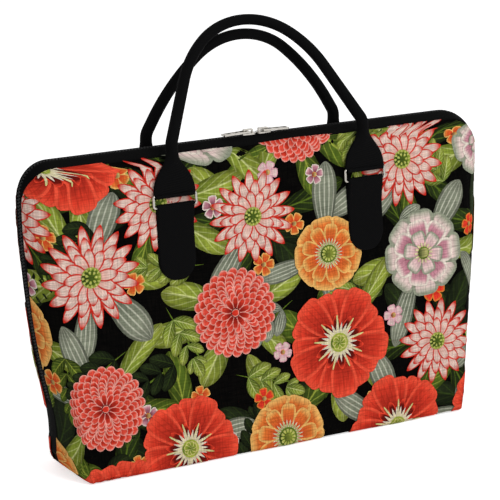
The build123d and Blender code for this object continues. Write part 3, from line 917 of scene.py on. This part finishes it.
def tab_patches(centre, side):
    """The tab's face: across it a goes -1 to 1, and the half width follows the round end.
    The face drops to the panel along its border in a quarter circle, and thickens towards
    the ring. A second patch is the half loop round the bar, an arc carried across."""
    start, end = ring_height - tab_length, ring_height
    round_run = strap_half * (1 - np.cos(np.linspace(0, np.pi / 2, 12)))
    run = np.concatenate([round_run, np.linspace(strap_half, tab_length, 26)[1:]])
    a = np.linspace(-1, 1, 25)
    near = np.clip(1 - run / strap_half, 0, 1)
    half = strap_half * np.sqrt(1 - near**2)
    swell = np.clip((run - (tab_length - tab_taper)) / tab_taper, 0, 1)
    top = tab_thick + swell * (stand_off + eye_radius - tab_thick)
    border = np.minimum((1 - np.abs(a))[None, :] * strap_half, run[:, None])
    ease = np.sqrt(np.clip(1 - (1 - np.clip(border / tab_edge, 0, 1)) ** 2, 0, 1))
    out = -tab_sink + (top[:, None] + tab_sink) * ease
    u = centre + half[:, None] * a[None, :]
    v = (start + run)[:, None] + 0 * a[None, :]
    patches = [(on_plane(u, v, out, side), np.stack([u, v], axis=-1), side > 0)]
    angle = np.linspace(np.pi / 2, -np.pi / 2 - 0.6, 14)[:, None]
    edge = np.clip((1 - np.abs(a)) * strap_half / tab_edge, 0, 1)[None, :]
    radius = eye_radius - eye_rolled * (1 - np.sqrt(1 - (1 - edge) ** 2))
    loop_v = end + radius * np.cos(angle)
    loop_out = stand_off + radius * np.sin(angle)
    loop_u = centre + strap_half * a[None, :] + 0 * angle
    loop = on_plane(loop_u, loop_v, loop_out, side)
    patches.append((loop, np.stack([loop_u, loop_v + loop_out], axis=-1), side > 0))
    return patches


for face_name, side in (("front", -1), ("back", 1)):
    for hand_name, hand in (("left", -1), ("right", 1)):
        tab = make_piece(
            f"strap_tab_{face_name}_{hand_name}", tab_patches(hand * ring_spread, side), black_webbing, "bag"
        )
        thicken(tab, 1.0)
        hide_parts(f"tab_{face_name}_{hand_name}")


# Handles
# The strap goes round the ring's upper bar, lies flat as a leaf, rolls up into a tube at
# the bag's top edge and arches over to the other ring. The front arch is the taller one.
leaf_height, neck_rise, tube_radius, neck_half = 33.0, 6.0, 4.5, 5.2
crown_angle, crown_radius, neck_bend = np.radians(50.0), 60.0, 14.0
bar_clearance, loop_half, loop_tuck = 0.15, 1.45, 0.15
upper_bar = ring_height + ring_pitch
neck_v = upper_bar + leaf_height
leaf_bezier_u = np.array([strap_half, strap_half, 7.3, neck_half])
leaf_bezier_v = np.array([0.0, 16.5, 20.5, leaf_height - tube_radius])


def bezier(points, count):
    """Cubic Bezier curve: the four points, each times its Bernstein weight."""
    t = np.linspace(0, 1, count)
    weights = np.stack([(1 - t) ** 3, 3 * t * (1 - t) ** 2, 3 * t**2 * (1 - t), t**3], axis=1)
    return weights @ points


def handle_path(rise, lean_angle, slant):
    """Centre line of half a handle in the strap's own plane: up the leaf, round the neck,
    along the slanted leg, then two arcs to the top. The shoulder's arc is the one that
    touches both the leg and the crown's arc."""
    slant = np.radians(slant)
    crown_in, crown_up = crown_radius * np.cos(crown_angle), crown_radius * (1 - np.sin(crown_angle))
    run, climb = ring_spread - crown_in, rise - crown_up
    span_x, span_y = np.cos(slant) - np.cos(crown_angle), np.sin(crown_angle) - np.sin(slant)
    shoulder = run * np.cos(slant) - climb * np.sin(slant)
    shoulder /= span_x * np.cos(slant) - span_y * np.sin(slant)
    leg = (run - shoulder * span_x) / np.sin(slant)
    leg_x, leg_y = ring_spread - leg * np.sin(slant), leg * np.cos(slant)
    turn = np.linspace(slant, crown_angle, 26)
    arc_x = leg_x - shoulder * (np.cos(slant) - np.cos(turn))
    arc_y = leg_y + shoulder * (np.sin(turn) - np.sin(slant))
    turn = np.linspace(crown_angle, np.pi / 2, 26)
    top_x = crown_radius * np.cos(turn)
    top_y = rise - crown_radius * (1 - np.sin(turn))
    tangent = neck_bend * np.tan(slant / 2)
    leg_run = np.linspace(tangent, leg, 16)
    x = np.concatenate([ring_spread - leg_run * np.sin(slant), arc_x[1:], top_x[1:]])
    y = np.concatenate([leg_run * np.cos(slant), arc_y[1:], top_y[1:]])
    bend_v = neck_v + neck_rise
    pivot = on_plane(0.0, bend_v, stand_off, -1)
    arch = np.stack([x, pivot[1] + y * np.sin(lean_angle), pivot[2] + y * np.cos(lean_angle)], axis=-1)
    leaf_v = upper_bar + (bend_v - tangent - upper_bar) * np.linspace(0, 1, 30)
    leaf = on_plane(np.full(30, ring_spread), leaf_v, stand_off, -1)
    corner = on_plane(ring_spread, bend_v, stand_off, -1)
    t = np.linspace(0, 1, 8)[1:-1, None]
    curve = leaf[-1] * (1 - t) ** 2 + corner * 2 * t * (1 - t) + arch[0] * t**2
    half = np.concatenate([leaf, curve, arch])
    return half, len(leaf)


def handle_patches(rise, lean_angle, slant, side):
    """Sweeps a section along the line. The section is a superellipse: a flat strap on the
    leaf, whose middle fattens until it is round at the neck. It keeps a shallow groove
    where the rolled edge is sewn down. The other patches are the loops round the bars."""
    half, leaf_count = handle_path(rise, lean_angle, slant)
    line = np.concatenate([half, half[-2::-1] * np.array([-1, 1, 1])])
    heading = np.gradient(line, axis=0)
    heading /= np.linalg.norm(heading, axis=1, keepdims=True)
    leaf_face = np.array([0, -np.cos(lean), np.sin(lean)])
    arch_face = np.array([0, -np.cos(lean_angle), np.sin(lean_angle)])
    share = np.clip((np.arange(len(half)) - leaf_count + 6) / 12, 0, 1)[:, None]
    face = leaf_face * (1 - share) + arch_face * share
    face = np.concatenate([face, face[-2::-1]])
    across = np.cross(heading, face)
    across /= np.linalg.norm(across, axis=1, keepdims=True)
    face = np.cross(across, heading)
    v = upper_bar + np.linalg.norm(half - half[0], axis=1)
    outline_v, outline_u = upper_bar + bezier(leaf_bezier_v, 60), bezier(leaf_bezier_u, 60)
    wide = np.interp(v, np.append(outline_v, neck_v), np.append(outline_u, tube_radius))
    stage_v = upper_bar + leaf_height * np.array([0, 0.22, 0.55, 0.8, 1.0, 1.35])
    deep = np.interp(v, stage_v, [1.6, 1.7, 2.6, 3.6, 4.6, tube_radius])
    rim = np.interp(v, stage_v, [1.6, 1.6, 1.7, 2.8, 4.6, tube_radius])
    power = np.interp(v, stage_v, [0.35, 0.35, 0.5, 0.8, 1.0, 1.0])
    thinner = np.interp(v, [neck_v, neck_v + 60, neck_v + 140], [1.06, 1.0, 0.92])
    wide, deep, rim, power = (
        np.concatenate([value, value[-2::-1]])[:, None]
        for value in (wide * thinner, deep * thinner, rim * thinner, power)
    )
    turn = np.linspace(0, 2 * np.pi, 33)[None, :]
    cosine, sine = np.cos(turn), np.sin(turn)
    x = wide * np.sign(cosine) * np.abs(cosine) ** power
    thick = rim + (deep - rim) * np.exp(-((x / (0.45 * wide)) ** 2))
    groove = 1 - 0.1 * np.exp(-(((turn - 1.5 * np.pi) / 0.16) ** 2))
    y = thick * np.sign(sine) * np.abs(sine) ** power * groove
    points = line[:, None, :] + across[:, None, :] * x[..., None] + face[:, None, :] * y[..., None]
    run = np.concatenate([[0], np.cumsum(np.linalg.norm(np.diff(line, axis=0), axis=1))])
    cloth = np.stack(np.broadcast_arrays(run[:, None], turn * 4.5), axis=-1)
    mirror = np.array([1, -side, 1])
    patches = [(points * mirror, cloth, side < 0)]
    angle = np.linspace(loop_tuck, -np.pi - loop_tuck, 15)[:, None]
    a = np.linspace(-1, 1, 21)[None, :]
    radius = wire_half + bar_clearance + loop_half + 0 * a
    for hand in (-1, 1):
        loop_u = hand * ring_spread + (strap_half - 0.1) * a + 0 * angle
        loop_v = upper_bar + 0.3 + radius * np.sin(angle)
        loop_out = stand_off + radius * np.cos(angle)
        loop = on_plane(loop_u, loop_v, loop_out, side)
        patches.append((loop, np.stack([loop_u, loop_v + loop_out], axis=-1), side < 0))
    return patches


for face_name, side, rise, lean_degrees, slant in (
    ("front", -1, 92.0, 25.6, 25.0),
    ("back", 1, 71.0, 1.0, 30.5),
):
    carrying = make_piece(
        f"carrying_handle_{face_name}",
        handle_patches(rise, np.radians(lean_degrees), slant, side),
        black_webbing,
        f"{face_name}_handle",
        weld=0.01,
    )
    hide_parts(f"handle_{face_name}")


# Studio
# A pale floor that shows white to the camera, a large soft lamp from the front right and
# above, a weaker one from the left, and a camera at the photograph's angle.
floor_half, lamp_aim = 3, np.array([0, 0, 0.13])


def seen_by(material, rays):
    """The largest of the named rays' marks: 1 where the camera or a mirror looks at it
    straight, and 0 where it only lights the bag."""
    path = add_node(material, "LightPath")
    seen = path.outputs[rays[0]]
    for ray in rays[1:]:
        links = {0: seen, 1: path.outputs[ray]}
        seen = add_node(material, "Math", links, operation="MAXIMUM").outputs[0]
    return seen


# White paper, matt, that looks pure white and throws little light of its own on the bag.
floor_paper = new_material("white_studio_paper")
paper_shader = add_node(
    floor_paper, "BsdfPrincipled", {"Base Color": linear("#fbfbfb"), "Roughness": 0.9}
)
paper_seen = seen_by(floor_paper, ("Is Camera Ray", "Is Glossy Ray"))
paper_white = add_node(floor_paper, "Math", {0: paper_seen, 1: 0.6}, operation="MULTIPLY")
paper_glow = add_node(
    floor_paper, "Emission", {"Color": (1, 1, 1, 1), "Strength": paper_white.outputs[0]}
)
paper_sum = add_node(floor_paper, "AddShader", {0: paper_shader.outputs[0], 1: paper_glow.outputs[0]})
finish_material(floor_paper, paper_sum)
floor_mesh = bpy.data.meshes.new("floor")
floor_corners = [(floor_half * x, floor_half * y, 0) for x, y in ((-1, -1), (1, -1), (1, 1), (-1, 1))]
floor_mesh.from_pydata(floor_corners, [], [(0, 1, 2, 3)])
floor_mesh.materials.append(floor_paper)
floor = bpy.data.objects.new("floor", floor_mesh)
bpy.context.collection.objects.link(floor)

world = bpy.data.worlds.new("studio")
bpy.context.scene.world = world
world.use_nodes = True
world.node_tree.nodes.clear()
seen_any = seen_by(world, ("Is Camera Ray", "Is Glossy Ray", "Is Transmission Ray"))
sky_level = add_node(world, "Math", {0: seen_any, 1: 0.5, 2: 0.5}, operation="MULTIPLY_ADD")
sky = add_node(world, "Background", {"Color": (1, 1, 1, 1), "Strength": sky_level.outputs[0]})
add_node(world, "OutputWorld", {"Surface": sky.outputs[0]})

for name, place, size, power in (
    ("key", (0.5, -1.5, 1.2), 1.2, 22.0),
    ("fill", (-1.3, -0.7, 0.8), 1.2, 2.5),
):
    lamp = bpy.data.lights.new(name, "AREA")
    lamp.size = size
    lamp.energy = power
    holder = bpy.data.objects.new(name, lamp)
    holder.location = place
    holder.rotation_euler = Vector(lamp_aim - np.array(place)).to_track_quat("-Z", "Y").to_euler()
    bpy.context.collection.objects.link(holder)

camera_azimuth, camera_elevation, camera_roll = np.radians([-26.94, 14.02, -1.75])
camera_distance, camera_focus = 1655.5, 2075.1
camera_target = np.array([-7.84, 0.0, 156.7])
picture_width = 500.0
lens = bpy.data.cameras.new("camera")
lens.sensor_width = 36.0
lens.lens = camera_focus / picture_width * lens.sensor_width
viewer = bpy.data.objects.new("camera", lens)
turned = Matrix.Rotation(camera_azimuth, 4, "Z")
turned @= Matrix.Rotation(np.pi / 2 - camera_elevation, 4, "X")
turned @= Matrix.Rotation(camera_roll, 4, "Z")
pulled_back = Matrix.Translation((0, 0, camera_distance * mm))
viewer.matrix_world = Matrix.Translation(Vector(camera_target * mm)) @ turned @ pulled_back
bpy.context.collection.objects.link(viewer)
bpy.context.scene.camera = viewer
bpy.context.scene.view_settings.view_transform = "Standard"
